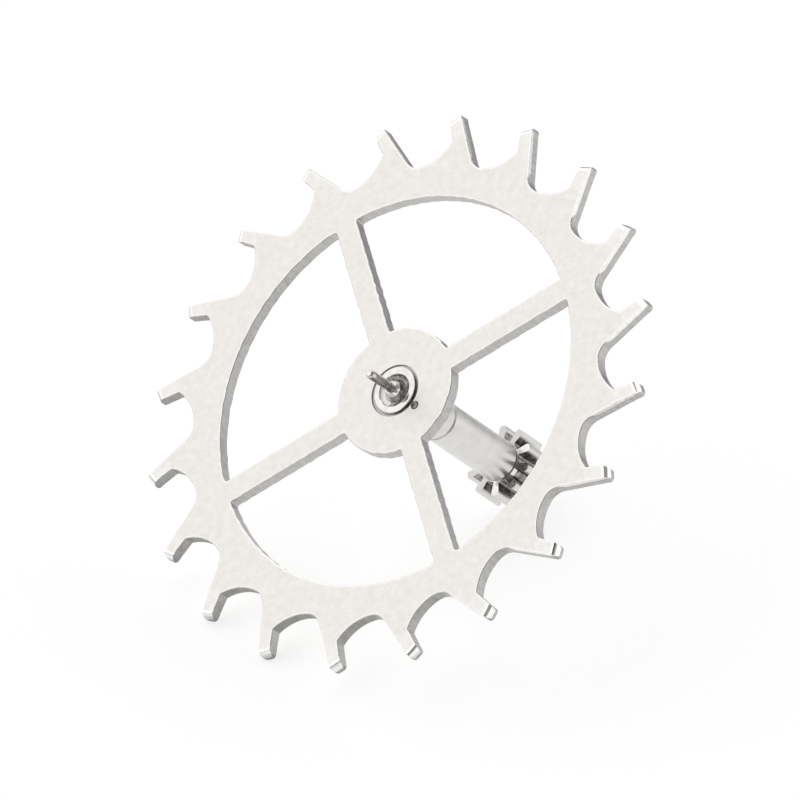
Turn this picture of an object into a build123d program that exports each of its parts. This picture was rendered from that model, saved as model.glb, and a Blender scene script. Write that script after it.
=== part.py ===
from build123d import *
import os
from math import asin, atan2, cos, degrees, hypot, radians, sin, sqrt

os.makedirs("parts", exist_ok=True)

# An escape wheel of a wristwatch: a thin club-toothed wheel riveted onto its turned pinion.
# All lengths are in millimetres and all angles in degrees.
# The origin is the centre of the lower pivot's end, and +Z runs up the arbor to the upper pivot.
# Seen from +Z the wheel turns anticlockwise, so each tooth leans anticlockwise.

# Wheel: the toothed edge
tooth_count = 20
tip_radius = 2.396           # to the heel, the outermost corner of a tooth's flat front
toe_drop = 0.062             # the toe lies this much inside the circle of the heels
toe_lead = 2.28              # angle from a heel to the toe of the same tooth
tip_bulge = 0.058            # the polished end of a tooth swells out by this much at the back
tip_corner = 0.032           # rounding of the end's two upright edges
club_drop = 0.206            # the notch under the club lies this much inside the heels
notch_lead = 0.88            # angle from a heel to the notch of the same tooth
gullet_drop = 0.207          # the gullet's floor lies this much inside the notch
flank_angle = 28.9           # lean of a tooth's back from the radius through its heel
gullet_fillet = 0.144        # small arc between a tooth's back and the gullet's floor
sweep_radius = 0.407         # long arc from the gullet's floor up to the notch
first_heel_angle = 3.93      # the spokes lie on the X and Y axes

# Wheel: bevels on the front of each tooth
club_relief = 0.008          # the front of the club slopes back by this much at the tip
back_bevel_width = 0.026     # bevel along the back edge of a tooth
back_bevel_depth = 0.028
back_bevel_stop = 0.075      # the bevel ends this far outside the gullet's floor

# Wheel: rim, spokes and hub
rim_width = 0.277            # from the gullets' floor in to the windows
hub_radius = 0.552
spoke_count = 4
spoke_width = 0.203
window_corner = 0.020
wheel_thickness = 0.110

# Rivet between wheel and pinion
seat_radius = 0.165          # bore of the wheel and seat of the pinion
lip_radius = 0.207           # the riveted lip, spread over the wheel
lip_edge_height = 0.006      # above the wheel's front face
lip_crest_radius = 0.176
lip_crest_height = 0.018
lip_inner_radius = 0.140
hollow_radius = 0.112        # the turned hollow inside the lip
hollow_depth = 0.014         # below the wheel's front face
recess_gap = 0.021           # dark line around the lip
recess_depth = 0.015
stake_mark_radius = 0.034    # small punch mark beside the rivet
stake_mark_depth = 0.020
stake_mark_place = 0.266     # distance of the mark from the arbor's axis
stake_mark_angle = 30.0

# Pinion: pivots
pivot_radius = 0.039
pivot_end_bevel = 0.010
upper_pivot_length = 0.316
upper_cone_height = 0.068    # from the wheel's front face up to the pivot's shoulder
upper_cone_foot = 0.098
upper_shoulder_radius = 0.058
lower_pivot_length = 0.262
lower_shoulder_radius = 0.115
lower_shoulder_bevel = 0.020
lower_shoulder_length = 0.143

# Pinion: leaves and arbor
leaf_count = 10
leaf_radius = 0.312
leaf_addendum = 0.042
leaf_thickness = 0.068       # at the pitch circle
leaf_land = 0.040            # flat width left at the top of a leaf
leaf_length = 0.296
root_depth = 0.127           # from the top of a leaf to the floor of the gap
root_corner = 0.016
first_leaf_angle = 11.6
arbor_radius = 0.177
arbor_length = 1.439         # from the leaves' front end to the wheel's back
ring_line_place = 0.527      # turned line on the arbor, measured from the wheel's back
ring_line_width = 0.030
ring_line_depth = 0.012

# One overrun serves every cut.
overrun = 0.050

# Heights that follow from the lengths above
leaves_bottom = lower_pivot_length + lower_shoulder_length
leaves_top = leaves_bottom + leaf_length
wheel_back = leaves_top + arbor_length
wheel_front = wheel_back + wheel_thickness
recess_floor = wheel_front - recess_depth
upper_shoulder = wheel_front + upper_cone_height
upper_end = upper_shoulder + upper_pivot_length
ring_line_height = wheel_back - ring_line_place

# Radii that follow
toe_radius = tip_radius - toe_drop
notch_radius = tip_radius - club_drop
gullet_radius = notch_radius - gullet_drop
rim_inner_radius = gullet_radius - rim_width
recess_radius = lip_radius + recess_gap
root_radius = leaf_radius - root_depth
pitch_radius = leaf_radius - leaf_addendum
tooth_pitch = 360 / tooth_count
leaf_pitch = 360 / leaf_count


def polar(radius, angle):
    """The point of the XY plane at a radius and an angle."""
    return Vector(radius * cos(radians(angle)), radius * sin(radians(angle)))


def end_points(heel_angle):
    """The heel and the toe of a tooth, moved out along its sides by the bulge of its end."""
    heel = polar(tip_radius, heel_angle)
    toe = polar(toe_radius, heel_angle + toe_lead)
    notch = polar(notch_radius, heel_angle + notch_lead)
    face = (toe - heel).normalized()
    outward = Vector(face.Y, -face.X)
    back = polar(1, heel_angle + flank_angle)
    front = (toe - notch).normalized()
    heel_end = heel + back * (tip_bulge / back.dot(outward))
    toe_end = toe + front * (tip_bulge / front.dot(outward))
    return heel_end, toe_end


def gullet_points(heel_angle):
    """Foot of a tooth's back, and the point where the gullet's two arcs meet behind it."""
    heel = polar(tip_radius, heel_angle)
    inward = polar(-1, heel_angle + flank_angle)
    outward = Vector(-inward.Y, inward.X)
    edge = heel + outward * gullet_fillet
    reach = gullet_radius + gullet_fillet
    along = edge.dot(inward)
    travel = -along - sqrt(along**2 - edge.dot(edge) + reach**2)
    foot = heel + inward * travel
    fillet_centre = foot + outward * gullet_fillet

    # The sweep passes through the notch of the tooth behind and touches the small arc.
    notch = polar(notch_radius, heel_angle - tooth_pitch + notch_lead)
    across = notch - fillet_centre
    gap = across.length
    centre_distance = sweep_radius - gullet_fillet
    near = (gap**2 + centre_distance**2 - sweep_radius**2) / (2 * gap)
    aside = sqrt(centre_distance**2 - near**2)
    along_unit = across * (1 / gap)
    aside_unit = Vector(-along_unit.Y, along_unit.X)
    sweep_centre = fillet_centre + along_unit * near + aside_unit * aside
    touch = (fillet_centre - sweep_centre).normalized()
    turn = fillet_centre + touch * gullet_fillet
    return foot, turn


# The cutter that rounds the end of the first tooth from its front to its back
first_heel = polar(tip_radius, first_heel_angle)
first_toe = polar(toe_radius, first_heel_angle + toe_lead)
end_width = (first_toe - first_heel).length
along_end = (first_toe - first_heel).normalized()
out_of_end = Vector(along_end.Y, -along_end.X)
cutter_start = first_heel - along_end * overrun
cutter_origin = (cutter_start.X, cutter_start.Y, wheel_back)
with BuildPart() as end_cutter:
    with BuildSketch(Plane(cutter_origin, x_dir=out_of_end, z_dir=along_end)):
        Rectangle(
            tip_bulge + overrun,
            2 * (wheel_thickness + overrun),
            align=(Align.MIN, Align.CENTER),
        )
        Ellipse(tip_bulge, wheel_thickness, mode=Mode.SUBTRACT)
    extrude(amount=end_width + 2 * overrun)

# The toothed plate, with its tooth ends rounded, then bored, windowed and bevelled
with BuildPart() as escape_wheel:
    with BuildSketch(Plane.XY.offset(wheel_back)) as plate:
        with BuildLine() as toothed_edge:
            for tooth in range(tooth_count):
                heel_angle = first_heel_angle + tooth * tooth_pitch
                notch = polar(notch_radius, heel_angle + notch_lead)
                notch_behind = polar(notch_radius, heel_angle - tooth_pitch + notch_lead)
                heel_end, toe_end = end_points(heel_angle)
                foot, turn = gullet_points(heel_angle)
                back = Line(heel_end, foot)
                small_arc = TangentArc(foot, turn, tangent=back % 1)
                TangentArc(turn, notch_behind, tangent=small_arc % 1)
                Line(heel_end, toe_end)
                Line(toe_end, notch)
        make_face()
        ends = [corner for corner in plate.vertices() if hypot(corner.X, corner.Y) > toe_radius]
        fillet(ends, tip_corner)
    extrude(amount=wheel_thickness)
    with PolarLocations(0, tooth_count):
        add(end_cutter.part, mode=Mode.SUBTRACT)

    # Windows between the spokes
    with BuildSketch(Plane.XY.offset(wheel_back)) as windows:
        Circle(rim_inner_radius)
        Circle(hub_radius, mode=Mode.SUBTRACT)
        with PolarLocations(0, spoke_count):
            Rectangle(tip_radius, spoke_width, align=(Align.MIN, Align.CENTER), mode=Mode.SUBTRACT)
        fillet(windows.vertices(), window_corner)
    extrude(amount=wheel_thickness, mode=Mode.SUBTRACT)

    # Bore for the rivet, the shallow recess that the lip lies in, and the punch mark
    with BuildSketch(Plane.XY.offset(wheel_back)):
        Circle(seat_radius)
    extrude(amount=wheel_thickness, mode=Mode.SUBTRACT)
    with BuildSketch(Plane.XY.offset(recess_floor)):
        Circle(recess_radius)
    extrude(amount=recess_depth, mode=Mode.SUBTRACT)
    with BuildSketch(Plane.XY.offset(wheel_front - stake_mark_depth)):
        with Locations(polar(stake_mark_place, stake_mark_angle)):
            Circle(stake_mark_radius)
    extrude(amount=stake_mark_depth, mode=Mode.SUBTRACT)

    # The front of every club slopes back towards its tip.
    relief_slope = club_relief / club_drop
    with BuildSketch(Plane.XZ) as club_slope:
        with BuildLine():
            Polyline(
                (notch_radius, wheel_front),
                (tip_radius + overrun, wheel_front - relief_slope * (club_drop + overrun)),
                (tip_radius + overrun, wheel_front + overrun),
                (notch_radius, wheel_front + overrun),
                close=True,
            )
        make_face()
    revolve(axis=Axis.Z, mode=Mode.SUBTRACT)

    # A bevel runs down the back edge of every tooth and stops short of the gullet.
    bevel_slope = back_bevel_depth / back_bevel_width
    for tooth in range(tooth_count):
        heel_angle = first_heel_angle + tooth * tooth_pitch
        heel = polar(tip_radius, heel_angle)
        inward = polar(-1, heel_angle + flank_angle)
        towards_gap = Vector(-inward.Y, inward.X)
        middle = heel.dot(inward)
        stop_radius = gullet_radius + back_bevel_stop
        bevel_length = -middle - sqrt(middle**2 - tip_radius**2 + stop_radius**2)
        start = heel - inward * overrun
        start_on_front = (start.X, start.Y, wheel_front)
        with BuildSketch(Plane(start_on_front, x_dir=towards_gap, z_dir=inward)):
            with BuildLine():
                Polyline(
                    (-back_bevel_width - overrun / bevel_slope, overrun),
                    (overrun, overrun),
                    (overrun, -back_bevel_depth - overrun * bevel_slope),
                    close=True,
                )
            make_face()
        extrude(amount=bevel_length + overrun, mode=Mode.SUBTRACT)

escape_wheel.part.label = "escape_wheel"
export_step(escape_wheel.part, "parts/escape_wheel.step")


# The cutter for one gap between two leaves, which passes straight through along the arbor
leaf_half_angle = degrees(asin(leaf_thickness / 2 / pitch_radius))
land_half_angle = degrees(asin(leaf_land / 2 / leaf_radius))
flank_side = leaf_pitch / 2 - leaf_half_angle
land_side = leaf_pitch / 2 - land_half_angle
cutter_reach = leaf_radius + overrun

with BuildPart() as gap_cutter:
    with BuildSketch(Plane.XY.offset(leaves_bottom - overrun)) as gap:
        with BuildLine():
            flank = Line(polar(root_radius, flank_side), polar(pitch_radius, flank_side))
            tip_arc = TangentArc(flank @ 1, polar(leaf_radius, land_side), tangent=flank % 1)
            Line(tip_arc @ 1, polar(cutter_reach, land_side))
            other_flank = Line(polar(root_radius, -flank_side), polar(pitch_radius, -flank_side))
            other_arc = TangentArc(
                other_flank @ 1, polar(leaf_radius, -land_side), tangent=other_flank % 1
            )
            Line(other_arc @ 1, polar(cutter_reach, -land_side))
            ThreePointArc(flank @ 0, polar(root_radius, 0), other_flank @ 0)
            ThreePointArc(
                polar(cutter_reach, land_side),
                polar(cutter_reach, 0),
                polar(cutter_reach, -land_side),
            )
        make_face()
        fillet(gap.vertices().group_by(SortBy.DISTANCE)[0], root_corner)
    extrude(amount=leaf_length + 2 * overrun)

# The turned pinion: one profile spun about the arbor, then the gaps cut between the leaves
with BuildPart() as escape_pinion:
    with BuildSketch(Plane.XZ) as turned_profile:
        with BuildLine():
            Polyline(
                (0, 0),
                (pivot_radius - pivot_end_bevel, 0),
                (pivot_radius, pivot_end_bevel),
                (pivot_radius, lower_pivot_length),
                (lower_shoulder_radius - lower_shoulder_bevel, lower_pivot_length),
                (lower_shoulder_radius, lower_pivot_length + lower_shoulder_bevel),
                (lower_shoulder_radius, leaves_bottom),
                (leaf_radius, leaves_bottom),
                (leaf_radius, leaves_top),
                (arbor_radius, leaves_top),
                (arbor_radius, ring_line_height - ring_line_width / 2),
                (arbor_radius - ring_line_depth, ring_line_height),
                (arbor_radius, ring_line_height + ring_line_width / 2),
                (arbor_radius, wheel_back),
                (seat_radius, wheel_back),
                (seat_radius, recess_floor),
                (lip_radius, recess_floor),
                (lip_radius, wheel_front + lip_edge_height),
                (lip_crest_radius, wheel_front + lip_crest_height),
                (lip_inner_radius, wheel_front),
                (hollow_radius, wheel_front - hollow_depth),
                (upper_cone_foot, wheel_front - hollow_depth),
                (upper_shoulder_radius, upper_shoulder),
                (pivot_radius, upper_shoulder),
                (pivot_radius, upper_end - pivot_end_bevel),
                (pivot_radius - pivot_end_bevel, upper_end),
                (0, upper_end),
                close=True,
            )
        make_face()
    revolve(axis=Axis.Z)
    with PolarLocations(0, leaf_count, start_angle=first_leaf_angle + leaf_pitch / 2):
        add(gap_cutter.part, mode=Mode.SUBTRACT)

escape_pinion.part.label = "escape_pinion"
export_step(escape_pinion.part, "parts/escape_pinion.step")
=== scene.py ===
import math

import bmesh
import bpy
import numpy as np
from mathutils import Matrix, Vector
from mathutils.geometry import delaunay_2d_cdt


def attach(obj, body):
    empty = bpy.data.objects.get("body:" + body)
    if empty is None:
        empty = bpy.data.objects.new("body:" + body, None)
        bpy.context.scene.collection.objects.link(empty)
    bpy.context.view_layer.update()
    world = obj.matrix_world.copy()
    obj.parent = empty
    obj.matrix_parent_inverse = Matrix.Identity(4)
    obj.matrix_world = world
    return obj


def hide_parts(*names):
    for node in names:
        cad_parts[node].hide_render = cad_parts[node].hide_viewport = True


# An escape wheel riveted on its pinion. Sizes are in millimetres and repeat the CAD's, angles are
# in degrees, and meshes are written in metres.
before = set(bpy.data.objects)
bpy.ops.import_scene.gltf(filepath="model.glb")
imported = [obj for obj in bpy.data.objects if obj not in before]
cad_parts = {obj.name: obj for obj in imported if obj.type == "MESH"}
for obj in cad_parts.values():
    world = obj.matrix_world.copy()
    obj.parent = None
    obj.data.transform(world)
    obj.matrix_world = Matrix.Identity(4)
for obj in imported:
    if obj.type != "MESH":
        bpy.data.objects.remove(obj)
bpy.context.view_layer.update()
MM = 0.001

# Sizes of the wheel
TEETH = 20
TIP_RADIUS, TOE_DROP, TOE_LEAD = 2.396, 0.062, 2.28
TIP_BULGE, TIP_CORNER = 0.058, 0.032
CLUB_DROP, NOTCH_LEAD, GULLET_DROP = 0.206, 0.88, 0.207
FLANK_ANGLE, GULLET_FILLET, SWEEP_RADIUS = 28.9, 0.144, 0.407
FIRST_HEEL = 3.93
CLUB_RELIEF = 0.008
BACK_BEVEL_WIDTH, BACK_BEVEL_DEPTH = 0.026, 0.028
BACK_BEVEL_STOP, BACK_BEVEL_RUNOUT, BACK_BEVEL_SLACK = 0.075, 0.012, 0.004
RIM_WIDTH, HUB_RADIUS, SPOKE_WIDTH, WINDOW_CORNER = 0.277, 0.552, 0.203, 0.020
RIM_TANGENT, HUB_TANGENT = 8, 20           # ends of the chords that stand for the arcs at a corner
RIM_ARC_START, HUB_ARC_START = 4.4, 13.5   # the arcs start here, past the corners
SPOKES = 4
THICKNESS = 0.110
FRONT = 2.250
BACK = FRONT - THICKNESS
SEAT_RADIUS = 0.165
LIP_RADIUS, RECESS_GAP, RECESS_DEPTH = 0.207, 0.021, 0.015
RECESS_RADIUS = LIP_RADIUS + RECESS_GAP
PUNCH_RADIUS, PUNCH_DEPTH, PUNCH_PLACE, PUNCH_ANGLE = 0.034, 0.020, 0.266, 30.0
TOE_RADIUS = TIP_RADIUS - TOE_DROP
NOTCH_RADIUS = TIP_RADIUS - CLUB_DROP
GULLET_RADIUS = NOTCH_RADIUS - GULLET_DROP
RIM_INNER = GULLET_RADIUS - RIM_WIDTH
PITCH = 360 / TEETH
QUARTER = 360 / SPOKES

# Finer than the CAD: worn edges and the waviness of the stamped windows
EDGE, EDGE_DEPTH, BACK_EDGE_SHARE = 0.014, 0.006, 0.4
WAVE, WAVE_TURNS, WAVE_COUNT, WAVE_SEED = 0.0009, (14, 70), 16, 3
RECESS_WALL, PUNCH_FLAT = 0.003, 1.15
CLUB_MARGIN = 0.02                     # the lighter, painted-light part of a tooth starts this far above its notch
PATCH_RADIUS, PATCH_HALF_WIDTH = 1.1 * PUNCH_RADIUS, 0.55 * PUNCH_RADIUS
GREY_SHARE = 0.95                      # the swollen end is grey past this share of its swelling
LEAST_WALL = 0.004                     # height that the swollen end keeps at its back

# Lines that the meshes follow: shares of the worn edge, of the swollen end and of the bevel, and
# the seam, where the teeth join the rest of the wheel
EDGE_SHARES = (0.3, 0.65, 1.0, 1.35)
END_SHARES = [-0.35, 0.0, 0.1, 0.2, 0.3, 0.4, 0.5, 0.6, 0.7, 0.79, 0.87, 0.95, 0.98]
END_OVERRUN = 0.03
BEVEL_SHARES = (0.5, 1.0, 1.3)
PUNCH_SHARES = (1.1, 1.0, 0.97, 0.7, 0.35)
SEAM_DEPTH, SEAM_STEPS = 0.06, 15
SEAM_RADIUS = GULLET_RADIUS - SEAM_DEPTH
CUT_BEND = 0.6                         # bend of the cut between two teeth: no two edges in line
CLUB_SPAN = (-6.0, 0.6)                # the club's slope starts on a line over these angles
HELP_RINGS = ((0.42, 90), (RIM_INNER + 0.10, 260))   # radius and steps of circles that even the mesh
WELD, ON_LINE = 1e-6, 5e-6             # nearer than this points are one, or lie on a line

# Sizes of the pinion
PIVOT_RADIUS, PIVOT_END = 0.039, 0.010
LOWER_PIVOT, LOWER_SHOULDER, LOWER_BEVEL, SHOULDER_LENGTH = 0.262, 0.115, 0.020, 0.143
PIVOT_FILLET = 0.012
UPPER_CONE, UPPER_FOOT, UPPER_SHOULDER, UPPER_PIVOT = 0.068, 0.098, 0.058, 0.316
LIP_EDGE, CREST_RADIUS, CREST_HEIGHT, LIP_INNER = 0.006, 0.176, 0.018, 0.140
HOLLOW_RADIUS, HOLLOW_DEPTH = 0.112, 0.014
CONE_WAIST = 0.95                      # share of its straight width that the cone has half way up
LEAVES, LEAF_RADIUS, ADDENDUM, LEAF_THICKNESS, LAND = 10, 0.312, 0.042, 0.068, 0.040
LEAF_LENGTH, ROOT_DEPTH, ROOT_CORNER = 0.296, 0.127, 0.016
LEAF_BEVEL = 0.006
FIRST_LEAF = 11.6
ARBOR_RADIUS = 0.177
RING_PLACE, RING_WIDTH, RING_DEPTH = 0.527, 0.030, 0.012
LEAVES_BOTTOM = LOWER_PIVOT + SHOULDER_LENGTH
LEAVES_TOP = LEAVES_BOTTOM + LEAF_LENGTH
LEAF_PITCH = 360 / LEAVES
TOP = FRONT + UPPER_CONE + UPPER_PIVOT
SEAT_PLAY = 0.0005                     # keeps the two pieces' shared faces apart
UM = 0.001                             # a thousandth of a millimetre, for the finest roundings
POLE = 0.1 * UM                        # the smallest ring, closed into a point
WHEEL_SMOOTH, PINION_SMOOTH = 32, 26   # steeper edges than these stay sharp

# Where the pinion is painted dark as shade or painted bright as highlight, in radii, heights and angles
# round the axis
GAP_REACH = 0.262                      # the gaps between the leaves are painted dark, as shade, out to this radius
BRIGHT_FOOT, BRIGHT_HALF = 0.045, 11   # a painted highlight in the top of the first gap
# Angles round the axis: the flat ends of the first two leaves are painted dark as a reflection, their two
# neighbours' stay polished and the rest satin; within their angles the lip's wall is painted dark as
# shade, the hollow painted lighter and the upper pivot painted dark as shade
DARK_LEAVES = (-0.5 * LEAF_PITCH, 1.5 * LEAF_PITCH)
BRIGHT_LEAVES = (-1.5 * LEAF_PITCH, 2.5 * LEAF_PITCH)
DARK_LIP, BRIGHT_HOLLOW, DARK_PIVOT = (-20, 127), (-148, -43), (-56, 8)

# The photograph's camera
FOCAL = 30000.0                        # px, nearly parallel rays
TURN = (-0.41091, 0.59559, -0.01755)   # turn of the wheel's plane against the picture
PICTURE = 800                          # px, both ways
CENTRE = (394.872, 390.570)            # px, where the front's middle shows
SCALE = 122.886                        # px to one millimetre
SPOKE_IN_PICTURE = 66.7225             # clockwise from the picture's right


# Small helpers: colours, nodes, points and loops
def linear(hex_colour):
    """sRGB hex to a linear colour with alpha."""
    out = []
    for i in (1, 3, 5):
        c = int(hex_colour[i:i + 2], 16) / 255
        out.append(c / 12.92 if c <= 0.04045 else ((c + 0.055) / 1.055) ** 2.4)
    return (*out, 1.0)


def add(tree, kind, at, inputs=None, **settings):
    """One node: its settings, then values or links for its inputs, by name or number."""
    node = tree.nodes.new(kind)
    node.location = at
    for key, value in settings.items():
        setattr(node, key, value)
    for key, value in (inputs or {}).items():
        if isinstance(value, bpy.types.NodeSocket):
            tree.links.new(value, node.inputs[key])
        else:
            node.inputs[key].default_value = value
    return node


def polar(radius, degrees):
    a = math.radians(degrees)
    return np.array([radius * math.cos(a), radius * math.sin(a)])


def angle_of(point):
    return math.degrees(math.atan2(point[1], point[0]))


def left(v):
    return np.array([-v[1], v[0]])


def unit(v):
    return v / np.linalg.norm(v)


def arc(centre, start, end, steps):
    """Points of the shorter arc from start to end about a centre, both ends included."""
    a0, a1 = math.radians(angle_of(start - centre)), math.radians(angle_of(end - centre))
    turn = (a1 - a0 + math.pi) % (2 * math.pi) - math.pi
    r = np.linalg.norm(start - centre)
    angles = [a0 + turn * i / steps for i in range(steps + 1)]
    return [centre + r * np.array([math.cos(a), math.sin(a)]) for a in angles]


def rounded(before, corner, after, radius, steps):
    """Points of a small rounding at a corner between two straight edges."""
    u, v = unit(before - corner), unit(after - corner)
    half = math.acos(max(-1, min(1, float(u @ v)))) / 2
    reach = radius / math.tan(half)
    centre = corner + unit(u + v) * radius / math.sin(half)
    return arc(centre, corner + u * reach, corner + v * reach, steps)


def straight(a, b, steps):
    return [a + (b - a) * i / steps for i in range(steps + 1)]


def circle(radius, steps, centre=(0.0, 0.0), start=0.0):
    a = math.radians(start) + np.linspace(0, 2 * math.pi, steps, endpoint=False)
    return np.stack([centre[0] + radius * np.cos(a), centre[1] + radius * np.sin(a)], 1)


def offset_loop(points, distance):
    """A closed loop moved to its left by a small distance."""
    before = points - np.roll(points, 1, 0)
    after = np.roll(points, -1, 0) - points
    before /= np.linalg.norm(before, axis=1)[:, None]
    after /= np.linalg.norm(after, axis=1)[:, None]
    n0 = np.stack([-before[:, 1], before[:, 0]], 1)
    n1 = np.stack([-after[:, 1], after[:, 0]], 1)
    n = n0 + n1
    n /= np.linalg.norm(n, axis=1)[:, None]
    cosine = np.clip((n * n0).sum(1), 0.5, 1)
    return points + n * (distance / cosine)[:, None]


def distance_to_loops(points, loops, batch=1500):
    """Distance of each point to the nearest segment of the loops."""
    best = np.full(len(points), np.inf)
    for loop in loops:
        a, b = loop, np.roll(loop, -1, 0)
        d = b - a
        length2 = np.maximum((d * d).sum(1), 1e-18)
        for start in range(0, len(points), batch):
            part = slice(start, start + batch)
            p = points[part, None, :]
            t = np.clip(((p - a) * d).sum(2) / length2, 0, 1)
            gap = p - (a + t[..., None] * d)
            best[part] = np.minimum(best[part], np.sqrt((gap ** 2).sum(2)).min(1))
    return best


def inside_loops(points, loops, batch=1500):
    """Even-odd test against all loops together."""
    count = np.zeros(len(points), int)
    for loop in loops:
        a, b = loop, np.roll(loop, -1, 0)
        for start in range(0, len(points), batch):
            part = slice(start, start + batch)
            x, y = points[part, 0, None], points[part, 1, None]
            spans = (a[:, 1] > y) != (b[:, 1] > y)
            with np.errstate(divide="ignore", invalid="ignore"):
                cross = a[:, 0] + (y - a[:, 1]) * (b[:, 0] - a[:, 0]) / (b[:, 1] - a[:, 1])
            count[part] += (spans & (x < cross)).sum(1)
    return count % 2 == 1


# Meshes: plain ones, their copies round the axis, and the finished objects
def plain_mesh(name, verts, faces, finishes):
    """A mesh in metres, with the number of its finish kept on each face."""
    mesh = bpy.data.meshes.new(name)
    mesh.from_pydata([tuple(MM * c for c in v) for v in verts], [], [tuple(map(int, f)) for f in faces])
    mesh.attributes.new("finish", "INT", "FACE").data.foreach_set("value", [int(i) for i in finishes])
    return mesh


def round_the_axis():
    """Geometry nodes that turn copies of a mesh round the axis, side by side in one mesh."""
    tree = bpy.data.node_groups.new("round_the_axis", "GeometryNodeTree")
    for name, kind in (("Sector", "Geometry"), ("Count", "Int"), ("Steel", "Material")):
        tree.interface.new_socket(name, in_out="INPUT", socket_type="NodeSocket" + kind)
    tree.interface.new_socket("Ring", in_out="OUTPUT", socket_type="NodeSocketGeometry")
    given = add(tree, "NodeGroupInput", (-900, 0)).outputs
    number = add(tree, "GeometryNodeInputIndex", (-900, -250)).outputs[0]
    pitch = add(tree, "ShaderNodeMath", (-650, -150), {0: 2 * math.pi, 1: given["Count"]},
                operation="DIVIDE")
    angle = add(tree, "ShaderNodeMath", (-450, -250), {0: number, 1: pitch.outputs[0]},
                operation="MULTIPLY")
    turn = add(tree, "FunctionNodeAxisAngleToRotation", (-250, -250),
               {"Axis": (0, 0, 1), "Angle": angle.outputs[0]})
    places = add(tree, "GeometryNodePoints", (-450, 100), {"Count": given["Count"]})
    copies = add(tree, "GeometryNodeInstanceOnPoints", (0, 0),
                 {"Points": places.outputs[0], "Instance": given["Sector"],
                  "Rotation": turn.outputs[0]})
    real = add(tree, "GeometryNodeRealizeInstances", (200, 0), {0: copies.outputs[0]})
    steel = add(tree, "GeometryNodeSetMaterial", (400, 0),
                {"Geometry": real.outputs[0], "Material": given["Steel"]})
    add(tree, "NodeGroupOutput", (600, 0), {"Ring": steel.outputs[0]})
    return tree


ROUND_THE_AXIS = round_the_axis()


def repeated(sector, count, steel):
    """The sector's mesh turned round the axis count times, as a new plain mesh."""
    maker = bpy.data.objects.new(sector.name, sector)
    bpy.context.scene.collection.objects.link(maker)
    modifier = maker.modifiers.new("round_the_axis", "NODES")
    modifier.node_group = ROUND_THE_AXIS
    values = {"Count": count, "Steel": steel}
    for socket in ROUND_THE_AXIS.interface.items_tree:
        if socket.in_out == "INPUT" and socket.name in values:
            modifier[socket.identifier] = values[socket.name]
    depsgraph = bpy.context.evaluated_depsgraph_get()
    mesh = bpy.data.meshes.new_from_object(maker.evaluated_get(depsgraph), depsgraph=depsgraph,
                                           preserve_all_data_layers=True)
    bpy.data.objects.remove(maker)
    bpy.data.meshes.remove(sector)
    return mesh


def joined(name, parts, finishes, materials, smooth_angle):
    """One finished object of meshes that touch: doubles merged, poles closed, faces outwards."""
    bm = bmesh.new()
    for mesh in parts:
        bm.from_mesh(mesh)
    for face, finish in zip(bm.faces, finishes):
        face.material_index = int(finish)
    bmesh.ops.remove_doubles(bm, verts=bm.verts, dist=2 * POLE * MM)
    bmesh.ops.dissolve_degenerate(bm, dist=0.1 * POLE * MM, edges=bm.edges)
    bmesh.ops.recalc_face_normals(bm, faces=bm.faces)
    mesh = bpy.data.meshes.new(name)
    bm.to_mesh(mesh)
    bm.free()
    for attribute in [a for a in mesh.attributes if a.name == "finish"]:
        mesh.attributes.remove(attribute)
    for steel in materials:
        mesh.materials.append(steel)
    mesh.shade_smooth()
    mesh.set_sharp_from_angle(angle=math.radians(smooth_angle))
    obj = bpy.data.objects.new(name, mesh)
    bpy.context.scene.collection.objects.link(obj)
    return obj


def finishes_of(mesh):
    """The finish numbers kept on a mesh's faces, and the faces' middles in millimetres."""
    numbers = np.zeros(len(mesh.polygons), int)
    mesh.attributes["finish"].data.foreach_get("value", numbers)
    middles = np.zeros(3 * len(mesh.polygons))
    mesh.polygons.foreach_get("center", middles)
    return numbers, middles.reshape(-1, 3) / MM


# The wheel
LAPPED, MILLED_SHADE, ENDS, WORN_HIGHLIGHT, PUNCH_PATCH, LIT_CLUBS = range(6)   # its finishes
PUNCH = polar(PUNCH_PLACE, PUNCH_ANGLE)


def turned(points, degrees):
    """Points turned round the axis."""
    c, s = math.cos(math.radians(degrees)), math.sin(math.radians(degrees))
    return np.asarray(points) @ np.array([[c, s], [-s, c]])


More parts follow.
